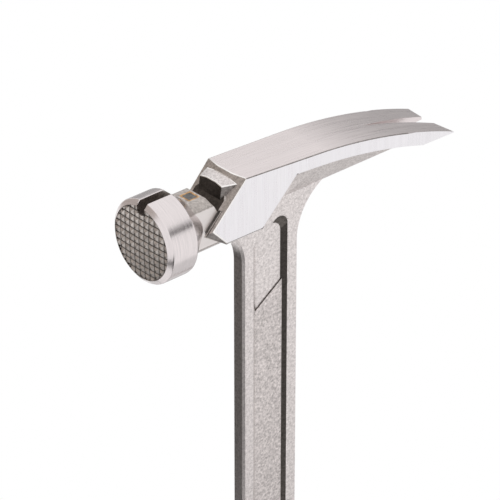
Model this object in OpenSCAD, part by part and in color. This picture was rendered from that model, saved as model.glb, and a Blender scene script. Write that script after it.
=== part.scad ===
// Framing hammer: one steel forging with a milled striking face, a straight rip claw
// and an I-beam shank, on a shock-damped hand grip.
// The butt of the grip stands on the origin, the shank runs up +Z, the striking face looks to -X.

/* [Overall] */
// Height of the striking axis above the butt
head_axis_z = 362; // [340:1:390]

/* [Poll] */
// Diameter of the poll
poll_d = 37.5; // [34:0.5:40]
// Distance from the shank centre to the front end of the poll's cylinder
poll_front = 66.4; // [64:0.1:70]
// Length of the poll's cylinder
poll_len = 13.65; // [11:0.05:15]
// Length of the bevel in front of the cylinder
face_bevel_len = 1.7; // [1.2:0.1:3]
// Depth of that bevel, measured on the radius
face_bevel_drop = 2.2; // [1:0.05:2.6]
// Bevel at the back of the poll
poll_back_bevel = 1; // [0.5:0.1:1.5]
// Distance between two milled grooves of the striking face
mill_pitch = 3.05; // [2.6:0.05:4]
// Width of a milled groove at the face
mill_groove_w = 2.3; // [1.2:0.1:2.6]
// Depth of a milled groove
mill_groove_depth = 1; // [0.5:0.05:1.2]
// Width of the plain rim round the milled grooves
mill_rim = 0.15; // [0.1:0.05:0.6]

/* [Neck and starter] */
// Width of the neck
neck_w = 17.6; // [15:0.1:18.5]
// Height of the neck
neck_h = 24; // [22:0.1:24.6]
// Bevel along the corners of the neck
neck_bevel = 2.8; // [1:0.1:3.2]
// Length of the cone that carries the back of the poll into the neck
flare_len = 10.4; // [6:0.1:11]
// Width of the recess beside the neck where it enters the head
socket_gap = 1.2; // [0.5:0.1:1.5]
// Depth of that recess
socket_depth = 1.8; // [1:0.1:2.5]
// Width of the starter groove in the top of the poll
starter_w = 4.7; // [4.3:0.1:5.5]
// Height of the floor of the starter groove above the striking axis
starter_floor = 13; // [12.4:0.1:14]
// Width of the starter seat at its front
seat_front_w = 13.5; // [10:0.1:14]
// Width of the starter seat where it runs into the head
seat_back_w = 19.1; // [16:0.1:21]
// Distance from the shank centre to the front of the starter seat
seat_front = 30.4; // [29.5:0.1:32]
// Height of the corners of the starter seat above the striking axis
seat_top = 14.9; // [14:0.1:15.2]
// Rise of the seat's flat crown above its corners
seat_crown = 0.9; // [0.4:0.1:1.2]
// Width of that crown at its front
crown_front_w = 5.2; // [4:0.1:8]
// Width of that crown where it runs into the head
crown_back_w = 10.8; // [8:0.1:14]
// How far the foot of the seat stands in front of its top
seat_lean = 0.8; // [0:0.1:1.2]
// Distance from the shank centre to the front edge of the relief in front of the seat
relief_front = 38.2; // [36:0.1:40]
// Distance from the shank centre to the bottom of that relief
relief_low = 34.6; // [33:0.1:35.5]
// Length of the starter magnet
magnet_len = 4.4; // [3:0.1:5]
// Width of the starter magnet
magnet_w = 4.8; // [3:0.1:6]
// Thickness of the starter magnet
magnet_t = 2.6; // [2:0.1:3.5]
// Thickness of the bond around the magnet
bond_t = 0.8; // [0.3:0.05:1]

/* [Head] */
// Distance from the shank centre to the front edge of the top face
top_front = 22.7; // [20:0.1:24]
// Height of that edge above the striking axis
top_front_z = 17.5; // [16.5:0.1:18.2]
// Slope of the straight part of the top face
top_slope = 3.55; // [2.5:0.05:5]
// Width of the middle facet of the front ramp
ramp_flat_w = 8.8; // [6:0.1:10]
// How far the ramp's side facets sweep back to the cheeks
ramp_sweep = 1.4; // [0.8:0.1:2]
// Distance from the shank centre to the nose of the cheek
nose = 39.1; // [38:0.1:41]
// Drop of the nose of the cheek below the striking axis
nose_drop = 1.2; // [0.6:0.1:2]
// Distance from the shank centre to the chin of the cheek
chin = 31.8; // [30:0.1:33]
// Drop of the chin below the striking axis
chin_drop = 9.4; // [9:0.1:9.8]
// Distance from the shank centre to the heel of the cheek
heel = 11.9; // [10:0.1:14]
// Drop of the heel below the striking axis
heel_drop = 10; // [9.9:0.1:11]
// Slope of the cheek's rear edge
cheek_rear_slope = 45; // [42:1:48]
// Radius of the cheek's rear corners
cheek_corner_r = 2.6; // [1.5:0.1:4]
// Width of the head at the nose
nose_w = 23; // [21.5:0.1:24]

/* [Claw] */
// Distance from the shank centre to the outer tips of the claw
claw_reach = 97; // [92:0.5:102]
// Width of the claw across its outer tips
claw_tip_w = 28.2; // [26:0.1:30]
// Thickness of the claw
claw_t = 6.2; // [5.5:0.1:7]
// Radius of the claw's bend, on its top face
claw_bend_r = 268; // [240:2:300]
// Distance from the shank centre to the start of the bend
claw_bend_start = 18; // [14:0.5:22]
// Length of the bevel under the tips
tip_bevel_len = 18.3; // [14:0.1:22]
// Thickness left at the tips
tip_t = 0.5; // [0.3:0.1:1]
// How far the inner corners of the tips stand back
tip_skew = 1.95; // [1:0.05:3]
// Width of the claw slot at the tips
slot_w = 7.6; // [6:0.1:9]
// Length of the claw slot
slot_len = 39; // [34:0.5:42]
// Step between the claw's side and the gusset under it
gusset_step = 0.4; // [0.2:0.05:0.6]
// Reach of the gusset along the claw
gusset_reach = 63; // [52:1:66]
// Drop of the gusset's crease on the shank below the striking axis
gusset_crease_drop = 5.2; // [4.5:0.1:6]

/* [Shank] */
// Depth of the shank, front to back
shank_d = 31.2; // [28:0.1:32]
// Thickness of the shank
shank_t = 7; // [6:0.1:8]
// Bevel along the edges of the shank
shank_bevel = 0.95; // [0.5:0.05:1.2]
// Drop of the start of the shank's blends below the striking axis
blend_drop = 29.3; // [28:0.1:32]
// Radius of the blend under the head
front_blend_r = 22; // [21:0.5:24]
// Radius of the blend under the claw
rear_blend_r = 26.8; // [25:0.2:28]
// Width of the I-beam pocket at the surface
pocket_w = 18.8; // [16:0.1:20]
// Depth of the pocket above its step
pocket_depth = 2; // [1.6:0.1:2.4]
// Depth of the pocket below its step
panel_depth = 1.5; // [1:0.1:1.5]
// Width of the pocket's sloping wall
pocket_wall = 2.4; // [1.5:0.1:2.6]
// Drop of the pocket's top corner below the striking axis
pocket_top_drop = 9.7; // [9:0.1:12]
// Drop of the pocket's front corner below the striking axis
pocket_front_drop = 23.4; // [21:0.1:26]
// Radius of the pocket's top corner
pocket_corner_r = 4.6; // [3:0.1:5]
// Height of the pocket's lower end above the grip's collar
pocket_end_gap = 12; // [8:1:20]
// Drop of the rear end of the pocket's diagonal step below the striking axis
step_rear_drop = 44.7; // [42:0.1:50]
// Rise of the diagonal step across the pocket
step_rise = 12.9; // [10:0.1:18]

/* [Grip] */
// Length of the grip's sleeve, from the butt cap to the collar
sleeve_len = 164; // [150:1:175]
// Largest depth of the grip, front to back
grip_d = 37; // [36:0.5:40]
// Largest width of the grip
grip_w = 27; // [26:0.5:30]
// Roundness of the grip's section, where 2 is an ellipse
grip_power = 2.5; // [2.2:0.1:3]
// Thickness of the soft sleeve
sleeve_t = 3; // [2.5:0.1:3.2]
// Thickness of the butt cap
cap_t = 5; // [4:0.5:7]
// Height of the collar
collar_h = 12; // [9:0.5:15]
// Bevel round the collar's top
collar_bevel = 2; // [1:0.1:2.4]
// Length of a palm pad
pad_len = 96; // [80:1:110]
// Thickness of a palm pad
pad_t = 0.9; // [0.6:0.1:1.2]
// Half of the arc that a palm pad covers at its middle
pad_angle = 40; // [30:1:45]

/* [Tang] */
// Depth of the tang inside the grip
tang_d = 24; // [22:0.5:24]
// Gap between the butt cap and the lower end of the tang
tang_end_gap = 9; // [6:0.5:10]
// Thickness of a damper strip along the edge of the tang
damper_t = 1.2; // [0.8:0.1:1.3]
// Gap between the damper strips and the lanyard eyelet
damper_end_gap = 5; // [3:0.5:8]
// Diameter of a rivet through the core
rivet_d = 4; // [3:0.1:5]
// Diameter of a rivet's head
rivet_head_d = 7; // [6:0.1:8]
// Thickness of a rivet's head
rivet_head_t = 1.2; // [0.8:0.1:1.4]
// Height of the lower rivet above the butt
rivet_low = 62; // [50:1:75]
// Distance between the two rivets
rivet_spacing = 70; // [55:1:85]

/* [Butt] */
// Bore of the lanyard eyelet
eyelet_bore = 6; // [5:0.1:7]
// Wall of the lanyard eyelet
eyelet_wall = 1.2; // [0.8:0.1:1.6]
// Width of the eyelet's flange
eyelet_flange_w = 1.8; // [1:0.1:2.2]
// Thickness of the eyelet's flange
eyelet_flange_t = 0.9; // [0.6:0.1:1.2]
// Height of the lanyard eyelet above the butt
eyelet_z = 26; // [25:0.5:30]
// Diameter of a cap screw's thread
screw_d = 2.6; // [2:0.1:3]
// Diameter of a cap screw's head
screw_head_d = 5; // [4.4:0.1:5.4]
// Thickness of a cap screw's head
screw_head_t = 1.8; // [1.2:0.1:2.2]
// Depth of a cap screw in the core
screw_grip = 10; // [8:0.5:11]

/* [Hidden] */

$fn = 96;
// Overrun of every cut
over = 1;
// Clearance between pieces that slide over each other
fit = 0.15;
// Steps in a rounded corner, in the claw's bend, and in the grip's outline and length
corner_steps = 6;
bend_steps = 20;
oval_steps = 36;
grip_steps = 22;
pad_steps = 12;
// Steps in the gusset before and behind the shank's blend, and in the collar's rounded top
gusset_root_steps = 3;
gusset_steps = 5;
collar_steps = 3;
// Size of a block that cuts the head
block = 4 * nose;

// Poll
poll_r = poll_d / 2;
face_x = -poll_front - face_bevel_len;
face_r = poll_r - face_bevel_drop;
poll_back_x = poll_len - poll_front;
mill_count = ceil(poll_r / mill_pitch);
mill_cut_y = mill_groove_w / 2 * (mill_groove_depth + over) / mill_groove_depth;
// The cone that carries the neck into the back of the poll
flare_big_r_share = 0.94;
flare_small_r_share = 0.47;

// Neck and starter
neck_top = neck_h / 2;
magnet_pocket_len = magnet_len + 2 * bond_t;
magnet_pocket_w = magnet_w + 2 * bond_t;
magnet_pocket_t = magnet_t + bond_t;
magnet_x = -relief_front - bond_t - magnet_pocket_len / 2;

// Head and claw, in the plane of the shank, measured from the striking axis
bend_start_z = top_front_z - (claw_bend_start + top_front) * tan(top_slope);
bend_x = claw_bend_start - claw_bend_r * sin(top_slope);
bend_z = bend_start_z - claw_bend_r * cos(top_slope);
under_r = claw_bend_r - claw_t;
bevel_x = claw_reach - tip_bevel_len;
tip_angle = asin((claw_reach - bend_x) / claw_bend_r);
bevel_angle = asin((bevel_x - bend_x) / under_r);
tip_z = bend_z + claw_bend_r * cos(tip_angle);
head_w = max(claw_tip_w, nose_w) + 2 * over;
head_taper = (claw_tip_w - nose_w) / 2 / (claw_reach + nose);
slot_root = claw_reach - tip_skew - slot_len;
// Height of the corner where the cheek's rear edge meets the claw's underside
under_slope = tan(top_slope);
under_z0 = top_front_z - top_front * under_slope - claw_t / cos(top_slope);
cheek_rise = (under_z0 + heel_drop + under_slope * heel) /
             (1 + under_slope / tan(cheek_rear_slope));
cheek_rear_x = -heel + cheek_rise / tan(cheek_rear_slope);
// Slope of the front ramp, and its distance from the striking axis
ramp_slope = 45;
ramp_off = top_front * sin(ramp_slope) + top_front_z * cos(ramp_slope);
// Bottom of the relief and foot of the starter seat, both on the ramp, and the seat's buried back
relief_z = top_front_z - (relief_low - top_front) * tan(ramp_slope);
seat_foot_z = top_front_z - (seat_front + seat_lean - top_front) * tan(ramp_slope);
seat_back = -top_front - ramp_sweep / 2;
// Inner corner of the ramp's foot, beside the neck
foot_y = neck_w / 2 + socket_gap / 2;
foot_in_share = (nose_w / 2 - foot_y) / (nose_w / 2 - ramp_flat_w / 2);
foot_x = -nose - ramp_sweep * (1 + 2 * foot_in_share);
foot_z = -nose_drop - ramp_sweep;

// Shank and tang
shank_r = shank_d / 2;
shank_y = shank_t / 2;
core_z = cap_t;
shoulder_z = cap_t + sleeve_len;
collar_top = shoulder_z + collar_h;
tang_z = cap_t + tang_end_gap;
blend_z = head_axis_z - blend_drop;
pocket_end = collar_top + pocket_end_gap - head_axis_z;
front_blend_run = front_blend_r + shank_r - chin + cheek_corner_r;
front_blend_top = sqrt(pow(front_blend_r, 2) - pow(front_blend_run, 2));
rear_blend_rise = blend_drop - gusset_crease_drop;
rear_blend_x = shank_r + rear_blend_r - sqrt(pow(rear_blend_r, 2) - pow(rear_blend_rise, 2));

// The grip's depth and width along its length, from the butt to the collar
grip_z_shares = [0, 0.05, 0.13, 0.27, 0.45, 0.62, 0.8, 0.92, 1];
grip_d_shares = [1.17, 1.16, 1.04, 0.95, 0.99, 1, 0.96, 0.97, 1];
grip_w_shares = [1.04, 1.04, 0.98, 0.93, 0.99, 1, 0.94, 0.91, 0.9];
pad_mid_share = 0.52;
pad_mid = cap_t + sleeve_len * pad_mid_share;
// Gap under a palm pad
pad_gap = 0.05;

// Rivets, eyelet and screws
eyelet_od = eyelet_bore + 2 * eyelet_wall;
eyelet_flange_d = eyelet_od + 2 * eyelet_flange_w;
eyelet_heights = [for (s = [-1, 0, 1]) eyelet_z + s * eyelet_flange_d / 2];
eyelet_seat = max([for (z = eyelet_heights) half_w(z)]);
rivet_heights = [rivet_low, rivet_low + rivet_spacing];
rivet_head_y = min([for (z = rivet_heights) half_w(z)]) - sleeve_t - 2 * rivet_head_t;
screw_y = (shank_y + half_w(cap_t) - sleeve_t) / 2;
damper_z = eyelet_z + eyelet_od / 2 + damper_end_gap;

// Value between the points of a table, on a smooth curve through them
function slope_at(xs, ys, i) =
    let (a = max(i - 1, 0), b = min(i + 1, len(xs) - 1)) (ys[b] - ys[a]) / (xs[b] - xs[a]);
function span_of(xs, t, i = 0) = i >= len(xs) - 2 || t < xs[i + 1] ? i : span_of(xs, t, i + 1);
function smooth(xs, ys, t) =
    let (i = span_of(xs, t), w = xs[i + 1] - xs[i], u = (t - xs[i]) / w)
    ys[i] * (1 + 2 * u) * pow(1 - u, 2) + ys[i + 1] * u * u * (3 - 2 * u)
    + w * (slope_at(xs, ys, i) * u * pow(1 - u, 2) - slope_at(xs, ys, i + 1) * u * u * (1 - u));
function along(z) = min(max((z - cap_t) / sleeve_len, 0), 1);
function half_d(z) = grip_d / 2 * smooth(grip_z_shares, grip_d_shares, along(z));
function half_w(z) = grip_w / 2 * smooth(grip_z_shares, grip_w_shares, along(z));

// Points of a rounded section at one height, from one angle to another
function signed_pow(v, p) = sign(v) * pow(abs(v), p);
function oval_point(z, inset, angle) =
    [(half_d(z) - inset) * signed_pow(cos(angle), 2 / grip_power),
     (half_w(z) - inset) * signed_pow(sin(angle), 2 / grip_power), z];
function oval(z, inset, from, to, steps) =
    [for (i = [0 : steps]) oval_point(z, inset, from + (to - from) * i / steps)];
function closed_oval(z, inset) =
    [for (i = [0 : oval_steps - 1]) oval_point(z, inset, 360 * i / oval_steps)];
function flat(points) = [for (p = points) [p[0], p[1]]];

// Points of an arc, and a corner of an outline rounded by an arc
function arc(x, y, r, from, to, steps) =
    [for (i = [0 : steps]) let (a = from + (to - from) * i / steps) [x + r * cos(a), y + r * sin(a)]];
function unit(v) = v / norm(v);
function rounded(before, corner, after, r) =
    let (u = unit(before - corner), v = unit(after - corner), half = acos(u * v) / 2,
         m = corner + unit(u + v) * r / sin(half), p = corner + u * r / tan(half) - m,
         q = corner + v * r / tan(half) - m, a = atan2(p[1], p[0]), turn = atan2(q[1], q[0]) - a,
         sweep = turn > 180 ? turn - 360 : turn < -180 ? turn + 360 : turn)
    arc(m[0], m[1], r, a, a + sweep, corner_steps);

// A solid through rings of points, closed by its two end rings
module loft(rings) {
    n = len(rings[0]);
    sides = [for (k = [0 : len(rings) - 2], i = [0 : n - 1], half = [0, 1])
        let (a = k * n + i, b = k * n + (i + 1) % n) half == 0 ? [a, a + n, b] : [b, a + n, b + n]];
    last = (len(rings) - 1) * n;
    polyhedron([for (r = rings, p = r) p],
        concat(sides, [[for (i = [0 : n - 1]) i], [for (i = [n - 1 : -1 : 0]) last + i]]));
}

// A tube through rings of points, whose last ring joins its first
module loft_tube(rings) {
    n = len(rings[0]);
    m = len(rings);
    polyhedron([for (r = rings, p = r) p],
        [for (k = [0 : m - 1], i = [0 : n - 1], half = [0, 1])
            let (j = (i + 1) % n, up = (k + 1) % m * n, low = k * n)
            half == 0 ? [low + i, up + i, low + j] : [low + j, up + i, up + j]]);
}

// Everything in front of a plane through three points, as a large block
module beyond(a, b, c, size) {
    n = unit(cross(b - a, c - a));
    translate(a) rotate([0, acos(n[2]), atan2(n[1], n[0])])
        translate([-size / 2, -size / 2, 0]) cube(size);
}

// An outline in the plane of the shank, given thickness across it
module across(width) {
    rotate([90, 0, 0]) linear_extrude(width, center = true) children();
}

// A cylinder across the shank
module pin(d, len) {
    rotate([90, 0, 0]) cylinder(d = d, h = len, center = true);
}

// Side view of the head and the claw
module head_outline() {
    front_top = [-top_front, top_front_z];
    ramp_end = [-top_front - (top_front_z - foot_z) / tan(ramp_slope), foot_z];
    chin_end = [-chin, -heel_drop];
    heel_end = [-heel, -heel_drop];
    rear_end = [cheek_rear_x, cheek_rise - heel_drop];
    under_end = [claw_bend_start, under_z0 - under_slope * claw_bend_start];
    polygon(concat(
        [front_top],
        arc(bend_x, bend_z, claw_bend_r, 90 - top_slope, 90 - tip_angle, bend_steps),
        [[claw_reach, tip_z - tip_t]],
        arc(bend_x, bend_z, under_r, 90 - bevel_angle, 90 - top_slope, bend_steps),
        rounded(under_end, rear_end, heel_end, cheek_corner_r),
        rounded(rear_end, heel_end, chin_end, cheek_corner_r),
        [chin_end, ramp_end]));
}

// Top view of the head and the claw, with the claw's slot
module head_plan() {
    front = -2 * nose;
    front_y = nose_w / 2 - head_taper * nose;
    tip_y = claw_tip_w / 2;
    tip_in = claw_reach - tip_skew;
    polygon([[front, -front_y], [claw_reach, -tip_y], [tip_in, -slot_w / 2], [slot_root, 0],
             [tip_in, slot_w / 2], [claw_reach, tip_y], [front, front_y]]);
}

// A bar with the neck's bevelled section, wider by a gap on every side
module neck_bar(from, to, gap) {
    y = neck_w / 2 + gap;
    z = neck_top + gap;
    translate([from, 0, 0]) rotate([90, 0, 90]) linear_extrude(to - from) polygon([
        [-y, -z + neck_bevel], [-y + neck_bevel, -z], [y - neck_bevel, -z], [y, -z + neck_bevel],
        [y, z - neck_bevel], [y - neck_bevel, z], [-y + neck_bevel, z], [-y, z - neck_bevel]]);
}

// Recess beside the neck, below the relief, with its floor parallel to the ramp
module neck_recess() {
    intersection() {
        neck_bar(-2 * nose, 0, socket_gap);
        translate([-block, -block / 2, relief_z - block]) cube(block);
        rotate([0, -ramp_slope, 0]) translate([-block / 2, -neck_w, ramp_off - socket_depth])
            cube([block, 2 * neck_w, 2 * socket_depth]);
    }
}

// Head and claw with the front facets cut
module head() {
    difference() {
        intersection() {
            across(head_w) head_outline();
            translate([0, 0, -block / 2]) linear_extrude(block) head_plan();
        }
        for (s = [-1, 1]) {
            top_in = [-top_front, s * ramp_flat_w / 2, top_front_z];
            top_out = [-top_front + ramp_sweep, s * nose_w / 2, top_front_z];
            nose_tip = [-nose, s * nose_w / 2, -nose_drop];
            chin_tip = [-chin, s * nose_w / 2, -chin_drop];
            foot = [foot_x, s * foot_y, foot_z];
            if (s < 0) {
                beyond(top_in, nose_tip, top_out, block);
                beyond(nose_tip, foot, chin_tip, block);
            } else {
                beyond(top_in, top_out, nose_tip, block);
                beyond(nose_tip, chin_tip, foot, block);
            }
        }
        neck_recess();
    }
}

// Gusset that carries the thin shank into the wide underside of the claw
module gusset() {
    function side_y(x) = nose_w / 2 + head_taper * (x + nose) - gusset_step;
    function under(x) = x < claw_bend_start ? under_z0 - under_slope * x
                      : bend_z + sqrt(pow(under_r, 2) - pow(x - bend_x, 2));
    function out_share(x) = max((x - rear_blend_x) / (gusset_reach - rear_blend_x), 0);
    function low_y(x) = shank_y + (side_y(gusset_reach) - shank_y) * out_share(x);
    function low_z(x) = (under(gusset_reach) + gusset_crease_drop) * out_share(x) - gusset_crease_drop;
    start = cheek_rear_x - heel;
    root_step = (rear_blend_x - start) / gusset_root_steps;
    step = (gusset_reach - rear_blend_x) / gusset_steps;
    stations = concat([for (i = [0 : gusset_root_steps]) start + i * root_step],
                      [for (i = [1 : gusset_steps]) rear_blend_x + i * step]);
    loft([for (x = stations)
        let (y = side_y(x), z = under(x) + gusset_step, ly = low_y(x) - gusset_step,
             lz = low_z(x) - (x < rear_blend_x ? gusset_step : 0), top = z + claw_t / 2)
        [[x, y - claw_t, top], [x, -y + claw_t, top], [x, -y, z], [x, -ly, lz], [x, ly, lz], [x, y, z]]]);
}

// Block that widens towards the head, up to a height
module seat_block(front, front_w, back_w, height) {
    linear_extrude(height) polygon([[-front, -front_w / 2], [seat_back, -back_w / 2],
        [seat_back, back_w / 2], [-front, front_w / 2]]);
}

// Starter seat that stands on the ramp, with a flat crown and sloping sides to its top
module starter_seat() {
    hull() {
        seat_block(seat_front + seat_lean, seat_front_w, seat_back_w, seat_foot_z);
        seat_block(seat_front, seat_front_w, seat_back_w, seat_top);
        seat_block(seat_front, crown_front_w, crown_back_w, seat_top + seat_crown);
    }
}

// Groove along the top of the poll and the cone behind it
module starter_groove() {
    translate([face_x - over, -starter_w / 2, starter_floor])
        cube([-face_x + poll_back_x + flare_len + over, starter_w, poll_r]);
}

// Relief across the neck, from its top down to the ramp in front of the starter seat
module starter_relief() {
    top = neck_top + over;
    lean = (relief_front - relief_low) / (neck_top - relief_z);
    across(2 * neck_w) polygon([[-relief_low, relief_z], [-relief_front - lean * over, top],
        [(top - top_front_z) / tan(ramp_slope) - top_front, top]]);
}

// Neck with its magnet pocket and relief, and the cone behind the poll
module neck() {
    difference() {
        union() {
            neck_bar(poll_back_x - over, over - top_front, 0);
            translate([poll_back_x, 0, 0]) rotate([0, 90, 0])
                cylinder(r1 = poll_r * flare_big_r_share, r2 = poll_r * flare_small_r_share, h = flare_len);
        }
        translate([magnet_x - magnet_pocket_len / 2, -magnet_pocket_w / 2, neck_top - magnet_pocket_t])
            cube([magnet_pocket_len, magnet_pocket_w, magnet_pocket_t + over]);
        starter_groove();
        starter_relief();
    }
}

// Crossed grooves of the milled face
module mill_grooves() {
    for (turn = [0, 90], i = [-mill_count : mill_count])
        rotate([turn, 0, 0]) translate([face_x, 0, (i + 1 / 2) * mill_pitch]) rotate([90, 0, 0])
            linear_extrude(2 * poll_d, center = true)
                polygon([[mill_groove_depth, 0], [-over, mill_cut_y], [-over, -mill_cut_y]]);
}

// Poll with the milled face and the starter groove
module poll() {
    difference() {
        rotate([0, 90, 0]) rotate_extrude() polygon([
            [0, face_x], [face_r, face_x], [poll_r, -poll_front], [poll_r, poll_back_x - poll_back_bevel],
            [poll_r - poll_back_bevel, poll_back_x], [0, poll_back_x]]);
        intersection() {
            mill_grooves();
            translate([face_x - 2 * over, 0, 0]) rotate([0, 90, 0])
                cylinder(r = face_r - mill_rim, h = poll_len);
        }
        starter_groove();
    }
}

// Straight part of the shank, and the tang inside the grip
module bar(depth, from, to) {
    x = depth / 2;
    translate([0, 0, from]) linear_extrude(to - from) polygon([
        [-x, -shank_y + shank_bevel], [-x + shank_bevel, -shank_y], [x - shank_bevel, -shank_y],
        [x, -shank_y + shank_bevel], [x, shank_y - shank_bevel], [x - shank_bevel, shank_y],
        [-x + shank_bevel, shank_y], [-x, shank_y - shank_bevel]]);
}

// Bevel along the edge of one blend, on both sides of the shank
module blend_bevel(x, r) {
    for (s = [-1, 1])
        translate([x, 0, -blend_drop]) rotate([s * 90, 0, 0]) rotate_extrude()
            polygon([[r - over, shank_y - shank_bevel - over], [r + shank_bevel + over, shank_y + over],
                     [r - over, shank_y + over]]);
}

// The shank's top, which spreads forward under the head and back under the claw
module shank_top() {
    front_x = -shank_r - front_blend_r;
    rear_x = shank_r + rear_blend_r;
    rear_turn = asin(rear_blend_rise / rear_blend_r);
    front_turn = asin(front_blend_top / front_blend_r);
    difference() {
        across(shank_t) polygon(concat(
            arc(front_x, -blend_drop, front_blend_r, front_turn, 0, 2 * corner_steps),
            arc(rear_x, -blend_drop, rear_blend_r, 180, 180 - rear_turn, 2 * corner_steps),
            [[rear_blend_x, under_z0 - claw_t / 2], [cheek_rear_x, under_z0], [-heel, 0],
             [front_x + front_blend_r * cos(front_turn), 0]]));
        blend_bevel(front_x, front_blend_r);
        blend_bevel(rear_x, rear_blend_r);
    }
}

// Outline of the pocket, drawn in from the surface by a wall
function pocket_points(wall) =
    let (x = pocket_w / 2 - wall, rise = pocket_front_drop - pocket_top_drop,
         lean = wall * (norm([pocket_w, rise]) - rise) / pocket_w,
         low = [x, pocket_end + wall], top = [x, -pocket_top_drop - lean - rise * wall / pocket_w],
         front = [-x, -pocket_front_drop - lean + rise * wall / pocket_w])
    concat([[-x, pocket_end + wall], low], rounded(low, top, front, pocket_corner_r), [front]);

// The pocket of one side, down to a depth, with walls that slope
module pocket(depth) {
    slope = pocket_wall / pocket_depth;
    hull() {
        translate([0, shank_y + over, 0]) across(over) polygon(pocket_points(-slope * over));
        translate([0, shank_y - depth + over / 2, 0]) across(over) polygon(pocket_points(slope * depth));
    }
}

// Both pockets, with the diagonal step between their deep and shallow parts
module pockets() {
    x = pocket_w / 2;
    for (s = [0, 1]) mirror([0, s, 0]) {
        pocket(panel_depth);
        intersection() {
            pocket(pocket_depth);
            across(2 * shank_t)
                polygon([[-x, -step_rear_drop - step_rise], [x, -step_rear_drop], [x, 0], [-x, 0]]);
        }
    }
}

module forged_body() {
    color("silver") difference() {
        union() {
            translate([0, 0, head_axis_z]) {
                head();
                gusset();
                starter_seat();
                neck();
                poll();
                shank_top();
            }
            bar(shank_d, shoulder_z, blend_z);
            bar(tang_d, tang_z, shoulder_z);
        }
        translate([0, 0, head_axis_z]) pockets();
        for (z = rivet_heights)
            translate([0, 0, z]) pin(rivet_d + 2 * fit, 2 * shank_t);
        translate([0, 0, eyelet_z]) pin(eyelet_od + 2 * fit, 2 * shank_t);
    }
}

module starter_magnet() {
    color("dimgray") translate([magnet_x, 0, head_axis_z + neck_top - magnet_t])
        translate([-magnet_len / 2, -magnet_w / 2, 0]) cube([magnet_len, magnet_w, magnet_t]);
}

module magnet_bond() {
    color("peru") translate([magnet_x, 0, head_axis_z + neck_top - magnet_pocket_t]) difference() {
        translate([-magnet_pocket_len / 2, -magnet_pocket_w / 2, 0])
            cube([magnet_pocket_len, magnet_pocket_w, magnet_pocket_t]);
        translate([-magnet_len / 2, -magnet_w / 2, bond_t]) cube([magnet_len, magnet_w, magnet_t + over]);
    }
}

// One half of the grip's rigid core, which closes round the tang and its damper strips
module core_half(side) {
    slot_x = tang_d / 2 + damper_t + fit;
    slot_y = shank_y + fit / 2;
    heights = [for (k = [0 : grip_steps]) core_z + sleeve_len * k / grip_steps];
    difference() {
        mirror([0, side < 0 ? 1 : 0, 0]) loft([for (z = heights)
            [for (p = oval(z, sleeve_t + fit, 0, 180, oval_steps / 2)) [p[0], max(p[1], fit / 2), z]]]);
        translate([-slot_x, -slot_y, core_z - over])
            cube([2 * slot_x, 2 * slot_y, sleeve_len + 2 * over]);
        for (z = rivet_heights) translate([0, 0, z]) {
            pin(rivet_d + 2 * fit, 2 * grip_w);
            translate([0, side * (rivet_head_y + grip_w / 2), 0]) pin(rivet_head_d + 2 * fit, grip_w);
        }
        translate([0, 0, eyelet_z]) pin(eyelet_od + 2 * fit, 2 * grip_w);
        translate([0, side * screw_y, cap_t - over]) cylinder(d = screw_d, h = screw_grip + over);
    }
}

module grip_core_left() {
    color("dimgray") core_half(1);
}

module grip_core_right() {
    color("dimgray") core_half(-1);
}

// Two rivets, with a head in each half of the core
module core_rivets() {
    color("lightgray") for (z = rivet_heights) translate([0, 0, z]) {
        pin(rivet_d, 2 * rivet_head_y + rivet_head_t);
        for (s = [-1, 1])
            translate([0, s * (rivet_head_y + rivet_head_t / 2), 0]) pin(rivet_head_d, rivet_head_t);
    }
}

module damper(side) {
    translate([side > 0 ? tang_d / 2 : -tang_d / 2 - damper_t, -shank_y, damper_z])
        cube([damper_t, shank_t, shoulder_z - damper_z]);
}

module damper_front() {
    color("darkslategray") damper(-1);
}

module damper_rear() {
    color("darkslategray") damper(1);
}

// Soft sleeve over both halves of the core
module grip_sleeve() {
    heights = [for (k = [0 : grip_steps]) core_z + sleeve_len * k / grip_steps];
    color([0.13, 0.13, 0.14]) difference() {
        loft_tube(concat([for (z = heights) closed_oval(z, 0)],
            [for (k = [grip_steps : -1 : 0]) closed_oval(heights[k], sleeve_t)]));
        translate([0, 0, eyelet_z]) pin(eyelet_od + 2 * fit, 2 * grip_w);
    }
}

// Pad that lies on one side of the sleeve, with rounded ends
module palm_pad(side) {
    loft([for (k = [0 : grip_steps])
        let (u = cos(180 * k / grip_steps), z = pad_mid - u * pad_len / 2,
             half = pad_angle * max(pow(1 - pow(abs(u), grip_power), 1 / grip_power), fit))
        concat(oval(z, -pad_t, side * 90 - half, side * 90 + half, pad_steps),
               oval(z, -pad_gap, side * 90 + half, side * 90 - half, pad_steps))]);
}

module palm_pad_left() {
    color([0.3, 0.3, 0.31]) palm_pad(1);
}

module palm_pad_right() {
    color([0.3, 0.3, 0.31]) palm_pad(-1);
}

// Rigid ring that closes the top of the grip round the shank
module grip_collar() {
    hole_x = shank_r + fit;
    hole_y = shank_y + fit;
    color([0.2, 0.2, 0.21]) difference() {
        for (k = [0 : collar_steps]) let (turn = 90 * k / collar_steps)
            translate([0, 0, shoulder_z]) linear_extrude(collar_h - collar_bevel * (1 - sin(turn)))
                polygon(flat(closed_oval(shoulder_z, collar_bevel * (1 - cos(turn)))));
        translate([-hole_x, -hole_y, shoulder_z - over])
            cube([2 * hole_x, 2 * hole_y, collar_h + 2 * over]);
    }
}

module butt_cap() {
    color([0.2, 0.2, 0.21]) difference() {
        linear_extrude(cap_t) polygon(flat(closed_oval(cap_t, 0)));
        for (s = [-1, 1]) translate([0, s * screw_y, 0]) {
            translate([0, 0, -over]) cylinder(d = screw_d + 2 * fit, h = cap_t + 2 * over);
            translate([0, 0, -over]) cylinder(d = screw_head_d + 2 * fit, h = screw_head_t + fit + over);
        }
    }
}

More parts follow.
